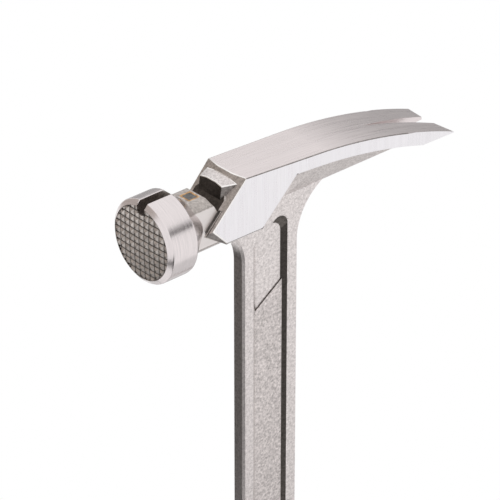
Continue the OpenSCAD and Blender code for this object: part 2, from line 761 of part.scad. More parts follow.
module cap_screws() {
    color("lightgray") for (s = [-1, 1]) translate([0, s * screw_y, fit]) {
        cylinder(d = screw_head_d, h = screw_head_t);
        cylinder(d = screw_d, h = cap_t + screw_grip - 2 * fit);
    }
}

// Tube through the butt for a lanyard, with a flange on each side
module lanyard_eyelet() {
    length = 2 * (eyelet_seat + eyelet_flange_t);
    color("lightgray") translate([0, 0, eyelet_z]) difference() {
        union() {
            pin(eyelet_od, length);
            for (s = [-1, 1]) translate([0, s * (eyelet_seat + eyelet_flange_t / 2), 0])
                pin(eyelet_flange_d, eyelet_flange_t);
        }
        pin(eyelet_bore, length + 2 * over);
    }
}

forged_body();
starter_magnet();
magnet_bond();
grip_core_left();
grip_core_right();
core_rivets();
damper_front();
damper_rear();
grip_sleeve();
palm_pad_left();
palm_pad_right();
grip_collar();
butt_cap();
cap_screws();
lanyard_eyelet();
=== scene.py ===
import math

import bmesh
import bpy
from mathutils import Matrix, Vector


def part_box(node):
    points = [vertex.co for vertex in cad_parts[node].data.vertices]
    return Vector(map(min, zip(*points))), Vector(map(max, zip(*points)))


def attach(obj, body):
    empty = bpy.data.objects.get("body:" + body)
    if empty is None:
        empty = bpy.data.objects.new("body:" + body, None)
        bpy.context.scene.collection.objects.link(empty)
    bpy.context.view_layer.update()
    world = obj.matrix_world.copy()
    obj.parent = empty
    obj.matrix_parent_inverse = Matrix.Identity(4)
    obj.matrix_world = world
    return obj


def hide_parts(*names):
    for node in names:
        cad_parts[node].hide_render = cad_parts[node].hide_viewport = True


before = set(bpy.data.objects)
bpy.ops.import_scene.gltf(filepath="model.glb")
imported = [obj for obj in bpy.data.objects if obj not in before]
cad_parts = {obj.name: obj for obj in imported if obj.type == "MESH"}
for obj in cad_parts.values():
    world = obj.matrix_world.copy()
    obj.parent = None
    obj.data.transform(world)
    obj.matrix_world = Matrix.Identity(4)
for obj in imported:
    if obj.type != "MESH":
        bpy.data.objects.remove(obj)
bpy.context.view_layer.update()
print("frame loaded,", len(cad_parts), "nodes")

mm = 0.001
headAxis = 362 * mm  # height of the striking axis
mergeGap = 2e-6  # CAD corners closer than this are one
flatAngle = 0.6  # degrees between triangles of one flat face
streakDepth = 0.05 * mm
quadAngles = (40, 60)


# Small tools for selecting and finishing

def deselectAll():
    if bpy.context.mode != "OBJECT":
        bpy.ops.object.mode_set(mode="OBJECT")
    bpy.ops.object.select_all(action="DESELECT")


def makeActive(piece):
    deselectAll()
    piece.select_set(True)
    bpy.context.view_layer.objects.active = piece


def cadCopy(nodeName, pieceName):
    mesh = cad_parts[nodeName].data.copy()
    mesh.materials.clear()
    piece = bpy.data.objects.new(pieceName, mesh)
    bpy.context.scene.collection.objects.link(piece)
    makeActive(piece)
    bpy.ops.mesh.customdata_custom_splitnormals_clear()
    bpy.ops.object.mode_set(mode="EDIT")
    bpy.ops.mesh.select_all(action="SELECT")
    bpy.ops.mesh.remove_doubles(threshold=mergeGap)  # CAD triangles come loose
    bpy.ops.object.mode_set(mode="OBJECT")
    return piece


def flattenFaces(piece):
    makeActive(piece)
    bpy.ops.object.mode_set(mode="EDIT")
    bpy.ops.mesh.select_all(action="SELECT")
    bpy.ops.mesh.dissolve_limited(angle_limit=math.radians(flatAngle))
    bpy.ops.object.mode_set(mode="OBJECT")


def makeQuads(piece):
    makeActive(piece)
    bpy.ops.object.mode_set(mode="EDIT")
    bpy.ops.mesh.select_all(action="SELECT")
    flat, square = (math.radians(angle) for angle in quadAngles)
    bpy.ops.mesh.tris_convert_to_quads(face_threshold=flat, shape_threshold=square)
    bpy.ops.object.mode_set(mode="OBJECT")


def chooseEdges(piece, wanted):
    makeActive(piece)
    bpy.ops.object.mode_set(mode="EDIT")
    bpy.ops.mesh.select_mode(type="EDGE")
    bpy.ops.mesh.select_all(action="DESELECT")
    mesh = bmesh.from_edit_mesh(piece.data)
    count = 0
    for edge in mesh.edges:
        if edge.is_manifold and wanted(edge):
            edge.select = True
            count += 1
    bmesh.update_edit_mesh(piece.data)
    return count


def chooseFaces(piece, wanted):
    makeActive(piece)
    bpy.ops.object.mode_set(mode="EDIT")
    bpy.ops.mesh.select_mode(type="FACE")
    bpy.ops.mesh.select_all(action="DESELECT")
    mesh = bmesh.from_edit_mesh(piece.data)
    count = 0
    for face in mesh.faces:
        if wanted(face.calc_center_median(), face.normal):
            face.select = True
            count += 1
    bmesh.update_edit_mesh(piece.data)
    return count


def bevelChosen(piece, width, segments, slot=None):
    bpy.ops.mesh.bevel(offset=width, segments=segments, profile=0.5, affect="EDGES", clamp_overlap=False)
    if slot is not None:
        piece.active_material_index = slot  # the new faces are still selected
        bpy.ops.object.material_slot_assign()
    bpy.ops.object.mode_set(mode="OBJECT")


def bevelSharp(piece, degrees, width, segments):  # every crisp edge of a small piece
    chooseEdges(piece, lambda edge: turns(edge, degrees))
    bevelChosen(piece, width, segments)


def addSubdivision(piece, levels):
    makeActive(piece)
    modifier = piece.modifiers.new("rounding", "SUBSURF")
    modifier.levels = levels
    modifier.render_levels = levels
    bpy.ops.object.modifier_apply(modifier=modifier.name)


def middle(edge):
    return (edge.verts[0].co + edge.verts[1].co) / 2


def turns(edge, degrees):
    return edge.calc_face_angle() > math.radians(degrees)


def smoothByAngle(piece, degrees):
    makeActive(piece)
    bpy.ops.object.shade_smooth_by_angle(angle=math.radians(degrees))


def flattenShading(piece):  # wide faces stay flat beside their rounded edges
    makeActive(piece)
    modifier = piece.modifiers.new("faceWeights", "WEIGHTED_NORMAL")
    modifier.keep_sharp = True
    modifier.weight = 100
    bpy.ops.object.modifier_apply(modifier=modifier.name)


def finishPiece(piece, nodeName, material=None):
    if material:
        piece.data.materials.clear()
        piece.data.materials.append(material)
    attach(piece, "root")
    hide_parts(nodeName)
    print(piece.name, len(piece.data.polygons), "faces")


# Node helpers

def addNode(tree, kind, values=None, **options):
    node = tree.nodes.new(kind)
    for name, value in options.items():
        setattr(node, name, value)
    for socket, value in (values or {}).items():
        node.inputs[socket].default_value = value
    return node


def addGroup(tree, group, values=None):
    node = tree.nodes.new("ShaderNodeGroup")
    node.node_tree = group
    for socket, value in (values or {}).items():
        node.inputs[socket].default_value = value
    return node


def newGroup(name, inputs, outputs):
    group = bpy.data.node_groups.new(name, "ShaderNodeTree")
    for socketName, kind, value in inputs:
        socket = group.interface.new_socket(name=socketName, in_out="INPUT", socket_type=kind)
        if value is not None:
            socket.default_value = value
    for socketName, kind in outputs:
        group.interface.new_socket(name=socketName, in_out="OUTPUT", socket_type=kind)
    start = group.nodes.new("NodeGroupInput")
    end = group.nodes.new("NodeGroupOutput")
    return group, start, end


def newMaterial(name, metallic, colour):
    material = bpy.data.materials.new(name)
    material.use_nodes = True
    material.diffuse_color = (*colour, 1)
    tree = material.node_tree
    shader = tree.nodes["Principled BSDF"]
    shader.inputs["Metallic"].default_value = metallic
    coords = addNode(tree, "ShaderNodeTexCoord")
    return material, tree, shader, coords.outputs["Object"]


def makeStreakGroup():  # long fine scratches, stretched along one direction
    group, start, end = newGroup(
        "ground streaks",
        [("Vector", "NodeSocketVector", None), ("Stretch", "NodeSocketVector", (900, 900, 20))],
        [("Streak", "NodeSocketFloat"), ("Shade", "NodeSocketFloat")])
    link = group.links.new
    scaled = addNode(group, "ShaderNodeVectorMath", operation="MULTIPLY")
    link(start.outputs["Vector"], scaled.inputs[0])
    link(start.outputs["Stretch"], scaled.inputs[1])
    fine = addNode(group, "ShaderNodeTexNoise", {"Scale": 1.0, "Detail": 5.0, "Roughness": 0.65})
    link(scaled.outputs[0], fine.inputs["Vector"])
    wide = addNode(group, "ShaderNodeTexNoise", {"Scale": 0.22, "Detail": 2.0, "Roughness": 0.5})
    link(scaled.outputs[0], wide.inputs["Vector"])
    link(fine.outputs["Fac"], end.inputs["Streak"])
    link(wide.outputs["Fac"], end.inputs["Shade"])
    return group


def makeGrainGroup():  # the sandy skin of blasted steel and moulded rubber
    group, start, end = newGroup(
        "sandy grain",
        [("Vector", "NodeSocketVector", None), ("Grain", "NodeSocketFloat", 1900),
         ("Lump", "NodeSocketFloat", 600)],
        [("Speck", "NodeSocketFloat"), ("Lumps", "NodeSocketFloat"), ("Height", "NodeSocketFloat")])
    link = group.links.new
    speck = addNode(group, "ShaderNodeTexNoise", {"Detail": 3.0, "Roughness": 0.7})
    lumps = addNode(group, "ShaderNodeTexNoise", {"Detail": 2.0, "Roughness": 0.55})
    for noise, size in ((speck, "Grain"), (lumps, "Lump")):
        link(start.outputs["Vector"], noise.inputs["Vector"])
        link(start.outputs[size], noise.inputs["Scale"])
    height = addNode(group, "ShaderNodeMath", operation="ADD")
    link(speck.outputs["Fac"], height.inputs[0])
    link(lumps.outputs["Fac"], height.inputs[1])
    link(speck.outputs["Fac"], end.inputs["Speck"])
    link(lumps.outputs["Fac"], end.inputs["Lumps"])
    link(height.outputs[0], end.inputs["Height"])
    return group


def makeGrooveGroup():  # painted shade: dark lines at the bottom of the milled grooves
    group, start, end = newGroup(
        "groove lines",
        [("Vector", "NodeSocketVector", None), ("Pitch", "NodeSocketFloat", 3.05 * mm),
         ("Axis", "NodeSocketFloat", headAxis), ("Width", "NodeSocketFloat", 0.4 * mm)],
        [("Line", "NodeSocketFloat")])
    link = group.links.new
    split = addNode(group, "ShaderNodeSeparateXYZ")
    link(start.outputs["Vector"], split.inputs[0])
    level = addNode(group, "ShaderNodeMath", operation="SUBTRACT")
    link(split.outputs["Z"], level.inputs[0])
    link(start.outputs["Axis"], level.inputs[1])
    half = addNode(group, "ShaderNodeMath", operation="MULTIPLY")
    half.inputs[1].default_value = 0.5
    link(start.outputs["Pitch"], half.inputs[0])
    inner = addNode(group, "ShaderNodeMath", operation="SUBTRACT")
    link(half.outputs[0], inner.inputs[0])
    link(start.outputs["Width"], inner.inputs[1])
    lines = []
    for value in (split.outputs["Y"], level.outputs[0]):
        fold = addNode(group, "ShaderNodeMath", operation="PINGPONG")
        link(value, fold.inputs[0])
        link(half.outputs[0], fold.inputs[1])
        line = addNode(group, "ShaderNodeMapRange", interpolation_type="SMOOTHSTEP")
        link(fold.outputs[0], line.inputs["Value"])
        link(inner.outputs[0], line.inputs["From Min"])
        link(half.outputs[0], line.inputs["From Max"])
        lines.append(line.outputs["Result"])
    both = addNode(group, "ShaderNodeMath", operation="MAXIMUM")
    link(lines[0], both.inputs[0])
    link(lines[1], both.inputs[1])
    link(both.outputs[0], end.inputs["Line"])
    return group


streakGroup = makeStreakGroup()
grainGroup = makeGrainGroup()
grooveGroup = makeGrooveGroup()


def shadeFrom(tree, value, low, high, span=(0.3, 0.7)):  # a colour between two, by a value
    blend = addNode(tree, "ShaderNodeMapRange", {"From Min": span[0], "From Max": span[1]})
    tree.links.new(value, blend.inputs["Value"])
    mix = addNode(tree, "ShaderNodeMix", data_type="RGBA")
    mix.inputs["A"].default_value = (*low, 1)
    mix.inputs["B"].default_value = (*high, 1)
    tree.links.new(blend.outputs["Result"], mix.inputs["Factor"])
    return mix.outputs["Result"]


def valueFrom(tree, value, low, high, span=(0.3, 0.7)):
    blend = addNode(tree, "ShaderNodeMapRange", {
        "From Min": span[0], "From Max": span[1], "To Min": low, "To Max": high})
    tree.links.new(value, blend.inputs["Value"])
    return blend.outputs["Result"]


def bumpFrom(tree, shader, height, strength, depth):
    bump = addNode(tree, "ShaderNodeBump", {"Strength": strength, "Distance": depth})
    tree.links.new(height, bump.inputs["Height"])
    tree.links.new(bump.outputs["Normal"], shader.inputs["Normal"])


def mixValues(tree, first, second, share):
    mix = addNode(tree, "ShaderNodeMix", data_type="FLOAT")
    mix.inputs["Factor"].default_value = share
    tree.links.new(first, mix.inputs["A"])
    tree.links.new(second, mix.inputs["B"])
    return mix.outputs["Result"]


def groundSteel(name, look):
    material, tree, shader, coords = newMaterial(name, 1.0, look["light"])
    streak = addGroup(tree, streakGroup, {"Stretch": look["stretch"]})
    tree.links.new(coords, streak.inputs["Vector"])
    mixed = mixValues(tree, streak.outputs["Streak"], streak.outputs["Shade"], look["wide"])
    tree.links.new(shadeFrom(tree, mixed, look["dark"], look["light"]), shader.inputs["Base Color"])
    tree.links.new(valueFrom(tree, mixed, *look["rough"]), shader.inputs["Roughness"])
    bumpFrom(tree, shader, streak.outputs["Streak"], look["bump"], streakDepth)
    return material


def blastedSteel(name, look):
    material, tree, shader, coords = newMaterial(name, look.get("metallic", 1.0), look["light"])
    grain = addGroup(tree, grainGroup, {"Grain": look["grain"], "Lump": look["lump"]})
    tree.links.new(coords, grain.inputs["Vector"])
    mixed = mixValues(tree, grain.outputs["Speck"], grain.outputs["Lumps"], look["lumpy"])
    colour = shadeFrom(tree, mixed, look["dark"], look["light"])
    if "grooveShade" in look:  # the milled face gets painted shade at the bottom of its grooves
        groove = addGroup(tree, grooveGroup)
        tree.links.new(coords, groove.inputs["Vector"])
        shadedGrooves = addNode(tree, "ShaderNodeMix", data_type="RGBA")
        shadedGrooves.inputs["B"].default_value = (*look["grooveShade"], 1)
        tree.links.new(groove.outputs["Line"], shadedGrooves.inputs["Factor"])
        tree.links.new(colour, shadedGrooves.inputs["A"])
        colour = shadedGrooves.outputs["Result"]
    tree.links.new(colour, shader.inputs["Base Color"])
    tree.links.new(valueFrom(tree, mixed, *look["rough"]), shader.inputs["Roughness"])
    bumpFrom(tree, shader, grain.outputs["Height"], look["bump"], look["depth"])
    return material


def mouldedFinish(name, look):
    material, tree, shader, coords = newMaterial(name, 0.0, look["light"])
    grain = addGroup(tree, grainGroup, {"Grain": look["grain"], "Lump": look["lump"]})
    tree.links.new(coords, grain.inputs["Vector"])
    colour = shadeFrom(tree, grain.outputs["Lumps"], look["dark"], look["light"])
    tree.links.new(colour, shader.inputs["Base Color"])
    tree.links.new(valueFrom(tree, grain.outputs["Speck"], *look["rough"]), shader.inputs["Roughness"])
    bumpFrom(tree, shader, grain.outputs["Height"], look["bump"], look["depth"])
    return material


# Steel finishes of the forging

groundLooks = {
    "cheekSteel": {"dark": (0.8, 0.778, 0.8), "light": (0.91, 0.885, 0.91), "stretch": (1500, 1500, 45),
                   "wide": 0.35, "rough": (0.24, 0.34), "bump": 0.1},
    "crownSteel": {"dark": (0.71, 0.648, 0.644), "light": (0.89, 0.813, 0.808), "stretch": (45, 1500, 90),
                   "wide": 0.35, "rough": (0.24, 0.34), "bump": 0.1},
    "neckSteel": {"dark": (0.66, 0.617, 0.604), "light": (0.82, 0.768, 0.752), "stretch": (60, 1500, 300),
                  "wide": 0.5, "rough": (0.28, 0.38), "bump": 0.1},
    "turnedSteel": {"dark": (0.72, 0.665, 0.665), "light": (0.83, 0.765, 0.765), "stretch": (1800, 90, 90),
                    "wide": 0.1, "rough": (0.2, 0.27), "bump": 0.04},
    # brighter than the cheeks: worn edges with a painted highlight
    "wornGlintSteel": {"dark": (0.86, 0.83, 0.815), "light": (1.0, 0.965, 0.95), "stretch": (900, 900, 900),
                  "wide": 0.3, "rough": (0.2, 0.3), "bump": 0.05},
}
blastLooks = {
    "shankSteel": {"dark": (0.46, 0.425, 0.415), "light": (1.0, 0.93, 0.915), "grain": 1700, "lump": 800,
                   "lumpy": 0.45, "rough": (0.4, 0.32), "bump": 0.5, "depth": 0.07 * mm},
    "panelSteel": {"dark": (0.34, 0.311, 0.303), "light": (0.96, 0.883, 0.864), "grain": 1600, "lump": 850,
                   "lumpy": 0.6, "rough": (0.42, 0.32), "bump": 0.7, "depth": 0.12 * mm},
    "gussetSteel": {"dark": (0.52, 0.478, 0.464), "light": (1.0, 0.925, 0.905), "grain": 1050, "lump": 700,
                    "lumpy": 0.2, "rough": (0.42, 0.3), "bump": 1.0, "depth": 0.45 * mm},
    # also lent as painted shade to the neck's top and upper bevels and the poll groove's walls
    "rampSteel": {"dark": (0.28, 0.254, 0.238), "light": (0.72, 0.656, 0.617), "grain": 1500, "lump": 700,
                  "lumpy": 0.5, "rough": (0.4, 0.3), "bump": 0.5, "depth": 0.1 * mm},
    # near-black painted shade: the poll groove's floor, the pocket's rear walls and the line under the cheeks
    "paintedShadeSteel": {"dark": (0.06, 0.053, 0.048), "light": (0.18, 0.16, 0.147), "grain": 1500, "lump": 700,
                  "lumpy": 0.5, "rough": (0.42, 0.32), "bump": 0.4, "depth": 0.08 * mm},
    "milledSteel": {"dark": (0.36, 0.328, 0.309), "light": (0.78, 0.714, 0.669), "grain": 1300, "lump": 450,
                    "lumpy": 0.5, "rough": (0.34, 0.24), "bump": 0.2, "depth": 0.04 * mm,
                    "metallic": 0.8, "grooveShade": (0.006, 0.005, 0.004)},  # a dull skin, painted shade in the grooves
    # a darker copy of the ramp finish: painted shade on the chin, the seat's sides and the cheeks' top
    # chamfers
    "halfShadeSteel": {"dark": (0.15, 0.134, 0.128), "light": (0.4, 0.365, 0.35), "grain": 1500, "lump": 700,
                  "lumpy": 0.5, "rough": (0.4, 0.3), "bump": 0.5, "depth": 0.1 * mm},
    # near-black painted shade: the neck's groove, the seat's front and the recess round the neck
    "deepShadeSteel": {"dark": (0.04, 0.034, 0.03), "light": (0.12, 0.104, 0.093), "grain": 1500, "lump": 600,
                   "lumpy": 0.5, "rough": (0.5, 0.36), "bump": 0.4, "depth": 0.08 * mm},
}
steels = {name: groundSteel(name, look) for name, look in groundLooks.items()}
steels.update({name: blastedSteel(name, look) for name, look in blastLooks.items()})
steelNames = list(steels)
print("steel finishes made:", ", ".join(steelNames))


# Forging: head, poll, claw and shank

forging = {
    "edgeWidth": 0.36 * mm,    # chamfers along the top of the cheeks, painted dark as a shaded line
    "bottomWidth": 0.9 * mm,   # and along their foot, painted near-black as a shadow line
    "frontWidth": 0.4 * mm,    # front edges of the head, worn and painted bright as a highlight
    "pocketWidth": 0.4 * mm,   # worn edges of the I-beam pockets
    "neckWidth": 0.4 * mm,
    "rimWidth": 0.4 * mm,
    "bevelLimit": 0.6 * mm,    # a face wider than this isn't a bevel
    "crownRadius": 220 * mm,   # slight crown of the striking face
    "wallArea": 20 * mm * mm,  # pocket walls larger than this are shaded flat
    "smooth": 30,
}

# Where the finishes change: x along the head, y to either side, z from the striking axis
zones = {
    "slack": 0.1 * mm,
    "hair": 0.05 * mm,
    "faceX": -68.1 * mm,       # flat striking face in the CAD
    "faceRadius": 16.55 * mm,
    "faceSlack": 0.02 * mm,
    "bevelMatch": 0.96,        # how nearly a face lies along the poll's front bevel
    "crownDepth": 0.5 * mm,
    "pollRadius": 18.75 * mm,
    "pollFront": -66.4 * mm,
    "pollBack": -52.75 * mm,
    "rimRadius": 17.6 * mm,
    "coneEnd": -42.3 * mm,
    "grooveHalf": 2.35 * mm,
    "grooveFloor": 13 * mm,
    "grooveBack": -45 * mm,
    "neckHalf": 8.8 * mm,
    "neckTop": 12 * mm,
    "neckGap": 2 * mm,         # bare neck in front of the seat
    "neckSpan": (-52 * mm, -36 * mm),
    "neckCorner": (3.4 * mm, 9 * mm),
    "neckShort": 2 * mm,
    "rampSum": 40.2 * mm,      # the ramp lies where height minus x is this
    "recessFloor": -1.3 * mm,  # below the ramp
    "recessEdge": -0.3 * mm,
    "recessHalf": 10.1 * mm,
    "recessFoot": -6 * mm,
    "seatTop": 14.9 * mm,
    "seatDrop": 0.5 * mm,
    "seatFront": -31.2 * mm,
    "seatBack": -23.5 * mm,
    "seatFoot": 9 * mm,
    "seatHalf": 9.7 * mm,
    "slotHalf": 4.5 * mm,      # of the claw's slot and of the relief in front of the seat
    "slotRoot": 54 * mm,
    "frontEnd": -20 * mm,
    "frontFoot": -16 * mm,
    "frontSpan": (-41 * mm, -19 * mm),
    "frontHalf": 10.8 * mm,
    "frontTop": 16.5 * mm,
    "frontShort": 1.2 * mm,
    "cheekHalf": 10 * mm,
    "cheekFoot": -10.5 * mm,
    "borderHalf": 10.5 * mm,
    "borderFoot": -10.6 * mm,
    "borderShort": 0.3 * mm,
    "chamferSpan": (-20.5 * mm, 70 * mm),
    "footSpan": (-26 * mm, 20 * mm),
    "footTop": -8 * mm,
    "crownFoot": -4 * mm,
    "crownHalf": 15 * mm,
    "crownTop": 10 * mm,
    "clawStart": 20 * mm,
    "gussetFront": -12 * mm,
    "shankHalf": 3.5 * mm,
    "pocketHalf": 9.8 * mm,
    "pocketTop": -9 * mm,
    "pocketDepth": 1.4 * mm,   # sloping walls lie further out than this
    "panelTop": 290 * mm,      # the coarser lower panel of the pocket, from the butt
    "gripTop": 190 * mm,       # from the butt
}


def pollZone(place, normal):
    at = zones
    z = place.z - headAxis
    inGroove = abs(place.y) < at["grooveHalf"] + at["slack"] and z > at["grooveFloor"] - at["slack"]
    # the groove's walls take the darker ramp finish as painted shade
    if inGroove and abs(normal.y) > 0.5:
        return "rampSteel"
    # the groove's floor is painted near-black as shade
    if inGroove and z < at["grooveFloor"] + at["slack"]:
        return "paintedShadeSteel"
    if place.x < at["pollFront"] - at["hair"]:
        slant = Vector((at["faceRadius"] - at["pollRadius"], at["pollFront"] - at["faceX"])).normalized()
        radius = math.hypot(place.y, z)
        outwards = (normal.y * place.y + normal.z * z) / radius
        match = normal.x * slant.x + outwards * slant.y
        if radius < at["faceRadius"] + at["faceSlack"] or match < at["bevelMatch"]:
            return "milledSteel"
    return "turnedSteel"


def frontZone(place, normal):  # from the poll's back to the front of the head
    at = zones
    y = abs(place.y)
    z = place.z - headAxis
    inRamp = (z - place.x - at["rampSum"]) / math.sqrt(2)  # below zero inside the head
    inGroove = y < at["grooveHalf"] + at["slack"] and z > at["grooveFloor"] - at["slack"]
    # the starter groove over the neck is painted near-black as shade
    if inGroove and place.x < at["grooveBack"]:
        return "deepShadeSteel"
    if place.x < at["coneEnd"] + 2 * at["slack"] and normal.x > 0.4:
        return "turnedSteel"
    # the seat's front is painted near-black as shadow
    if normal.x < -0.95 and z > at["seatFoot"]:
        return "deepShadeSteel"
    # the seat's sides are painted darker as shade
    besideSeat = z > at["seatFoot"] and y < at["seatHalf"] and place.x > at["seatFront"]
    if abs(normal.y) > 0.8 and besideSeat:
        return "halfShadeSteel"
    if normal.x < -0.6 and normal.z > 0.6:
        inRelief = y < at["slotHalf"] and place.x < at["seatFront"]
        # ramp facets inside the recess and the relief are painted near-black as shade; the rest keep the ramp
        # finish
        return "deepShadeSteel" if inRamp < at["recessFloor"] or inRelief else "rampSteel"
    if normal.z > 0.9 and z > at["seatTop"] - at["seatDrop"]:
        return "shankSteel"
    onNeck = y < at["neckHalf"] + at["slack"] and abs(normal.x) < 0.2 and z < at["neckTop"] + at["slack"]
    if onNeck and place.x < at["seatFront"] - at["neckGap"]:
        # the neck's top and upper bevels take the darker ramp finish as painted shade
        return "neckSteel" if abs(normal.y) > 0.9 else "rampSteel" if normal.z > 0 else "shankSteel"
    # the recess round the neck is painted near-black as shade
    inRecess = inRamp < at["recessEdge"] and y < at["recessHalf"] and z > at["recessFoot"]
    if inRecess and (abs(normal.x) > 0.2 or y > at["neckHalf"]):
        return "deepShadeSteel"
    if abs(normal.y) > 0.98 and y > at["borderHalf"]:
        return "cheekSteel"
    # down-facing chin facets are painted darker as shade
    return "halfShadeSteel" if normal.x < -0.3 and normal.z < -0.3 else "rampSteel"


def inPocket(place, half):
    return abs(place.x) < half and place.z - headAxis < zones["pocketTop"]


def onPocketWall(place, normal):
    at = zones
    sunk = at["pocketDepth"] < abs(place.y) < at["shankHalf"]
    sloping = abs(normal.y) < 0.95 and abs(normal.x) + abs(normal.z) > 0.3
    return sunk and sloping and inPocket(place, at["pocketHalf"])


def zoneOf(place, normal):
    at = zones
    y = abs(place.y)
    z = place.z - headAxis
    if place.x < at["pollBack"] + at["slack"]:
        return pollZone(place, normal)
    if place.x < at["frontEnd"] and z > at["frontFoot"]:
        return frontZone(place, normal)
    if abs(normal.y) > 0.95 and y > at["cheekHalf"] and z > at["cheekFoot"]:
        return "cheekSteel"
    if place.x > at["slotRoot"] and y < at["slotHalf"] and abs(normal.y) > 0.8:
        return "crownSteel"
    if place.z < at["panelTop"] and y < at["shankHalf"] - mm and abs(normal.y) > 0.95:
        return "panelSteel"
    if onPocketWall(place, normal):
        return "paintedShadeSteel" if normal.x < 0.2 else "wornGlintSteel"  # the rear wall is painted dark as shade; the front wall takes the worn finish with its painted highlight
    onCrown = z > at["crownFoot"] and y < at["crownHalf"] and (z > at["crownTop"] or place.x > at["clawStart"])
    if normal.z > 0.5 and onCrown:
        return "crownSteel"
    if y > at["shankHalf"] + at["hair"] and place.x > at["gussetFront"]:
        return "gussetSteel"
    return "shankSteel"


def crownFace(piece):
    at = zones
    rise = at["faceRadius"] ** 2 / (2 * forging["crownRadius"])
    for vertex in piece.data.vertices:
        radius = math.hypot(vertex.co.y, vertex.co.z - headAxis)
        if vertex.co.x < at["pollFront"] - at["crownDepth"] and radius < at["faceRadius"]:
            vertex.co.x -= rise - radius ** 2 / (2 * forging["crownRadius"])


def borderEdge(edge, reach):  # sharp border of a ground cheek, up to a distance along the claw
    at = zones
    place = middle(edge)
    onCheek = any(abs(face.normal.y) > 0.95 for face in edge.link_faces)
    high = place.z - headAxis > at["borderFoot"]
    inside = abs(place.y) > at["borderHalf"] and high and place.x < reach
    return onCheek and inside and turns(edge, 25) and edge.calc_length() > at["borderShort"]


def cheekEdge(edge):
    front, reach = zones["chamferSpan"]
    lowest = min(face.normal.z for face in edge.link_faces)
    return borderEdge(edge, reach) and lowest > -0.1 and middle(edge).x > front


def bottomEdge(edge):
    front, reach = zones["footSpan"]
    place = middle(edge)
    under = any(face.normal.z < -0.5 for face in edge.link_faces)
    sloping = any(face.normal.x > 0.4 for face in edge.link_faces)
    foot = under and (sloping or place.z - headAxis < zones["footTop"])
    return foot and borderEdge(edge, reach) and place.x > front


def frontEdge(edge):
    at = zones
    front, back = at["frontSpan"]
    place = middle(edge)
    z = place.z - headAxis
    if edge.calc_length() < at["frontShort"] or not turns(edge, 20) or not front < place.x < back:
        return False
    if any(face.normal.z < -0.9 for face in edge.link_faces):
        return False
    ground = any(abs(face.normal.y) > 0.95 or face.normal.z > 0.85 for face in edge.link_faces)
    onSeat = z > at["seatTop"] - at["slack"] and place.x < at["seatBack"]
    return onSeat or (ground and (abs(place.y) > at["frontHalf"] or z > at["frontTop"]))


def pocketEdge(edge):
    at = zones
    place = middle(edge)
    onFace = abs(abs(place.y) - at["shankHalf"]) < at["hair"]
    inside = inPocket(place, at["pocketHalf"] + at["slack"])
    return onFace and inside and turns(edge, 20) and place.z > at["gripTop"]


def rimEdge(edge):
    at = zones
    place = middle(edge)
    radius = math.hypot(place.y, place.z - headAxis)
    return place.x < at["pollBack"] + 2 * at["slack"] and radius > at["rimRadius"] and turns(edge, 20)


def neckEdge(edge):
    at = zones
    front, back = at["neckSpan"]
    inner, outer = at["neckCorner"]
    place = middle(edge)
    onNeck = front < place.x < back and inner < abs(place.y) < outer
    low = abs(place.z - headAxis) < at["neckTop"] + at["slack"]
    return onNeck and low and edge.calc_length() > at["neckShort"] and turns(edge, 30)


def makeForging():
    piece = cadCopy("forged_body", "forgedBody")
    flattenFaces(piece)
    f = forging
    for name in steelNames:
        piece.data.materials.append(steels[name])
    for wanted, width, segments, steel in (
            (bottomEdge, f["bottomWidth"], 2, "paintedShadeSteel"),
            (cheekEdge, f["edgeWidth"], 2, "halfShadeSteel"),
            (frontEdge, f["frontWidth"], 2, "wornGlintSteel"),
            (pocketEdge, f["pocketWidth"], 2, "shankSteel"),
            (neckEdge, f["neckWidth"], 2, "rampSteel"),
            (rimEdge, f["rimWidth"], 3, "turnedSteel")):
        print(wanted.__name__, chooseEdges(piece, wanted))
        bevelChosen(piece, width, segments, steelNames.index(steel))
    crownFace(piece)
    for face in piece.data.polygons:
        corners = [piece.data.vertices[index].co for index in face.vertices]
        longest = max((a - b).length for a, b in zip(corners, corners[1:] + corners[:1]))
        if face.material_index == 0 or face.area / longest > f["bevelLimit"]:  # not a bevel
            face.material_index = steelNames.index(zoneOf(face.center, face.normal))
    smoothByAngle(piece, f["smooth"])
    for face in piece.data.polygons:
        if onPocketWall(face.center, face.normal) and face.area > f["wallArea"]:
            face.use_smooth = False
    flattenShading(piece)
    finishPiece(piece, "forged_body")


makeForging()


# Starter magnet and its bond

starter = {
    "magnetEdge": 0.25 * mm,
    "magnetTurn": 30,          # edges that turn by more degrees are bevelled
    "bondEdge": 0.12 * mm,
    "bondTurn": 60,
    "smooth": 35,
    "plating": {"dark": (0.1, 0.097, 0.095), "light": (0.24, 0.235, 0.23), "grain": 1200, "lump": 400,
                "lumpy": 0.5, "rough": (0.42, 0.28), "bump": 0.15, "depth": 0.04 * mm},
    "bond": {"dark": (0.3, 0.13, 0.03), "light": (0.66, 0.4, 0.17), "grain": 1300, "lump": 700,
             "rough": (0.22, 0.4), "bump": 0.5, "depth": 0.15 * mm},
}


def makeStarter():
    magnet = cadCopy("starter_magnet", "starterMagnet")
    flattenFaces(magnet)
    bevelSharp(magnet, starter["magnetTurn"], starter["magnetEdge"], 2)
    smoothByAngle(magnet, starter["smooth"])
    finishPiece(magnet, "starter_magnet", blastedSteel("magnetPlating", starter["plating"]))
    bond = cadCopy("magnet_bond", "magnetBond")
    flattenFaces(bond)
    bevelSharp(bond, starter["bondTurn"], starter["bondEdge"], 2)
    smoothByAngle(bond, starter["smooth"])
    finishPiece(bond, "magnet_bond", mouldedFinish("amberBond", starter["bond"]))


makeStarter()


# Hand grip: sleeve, palm pads, collar, cap, screws and eyelet

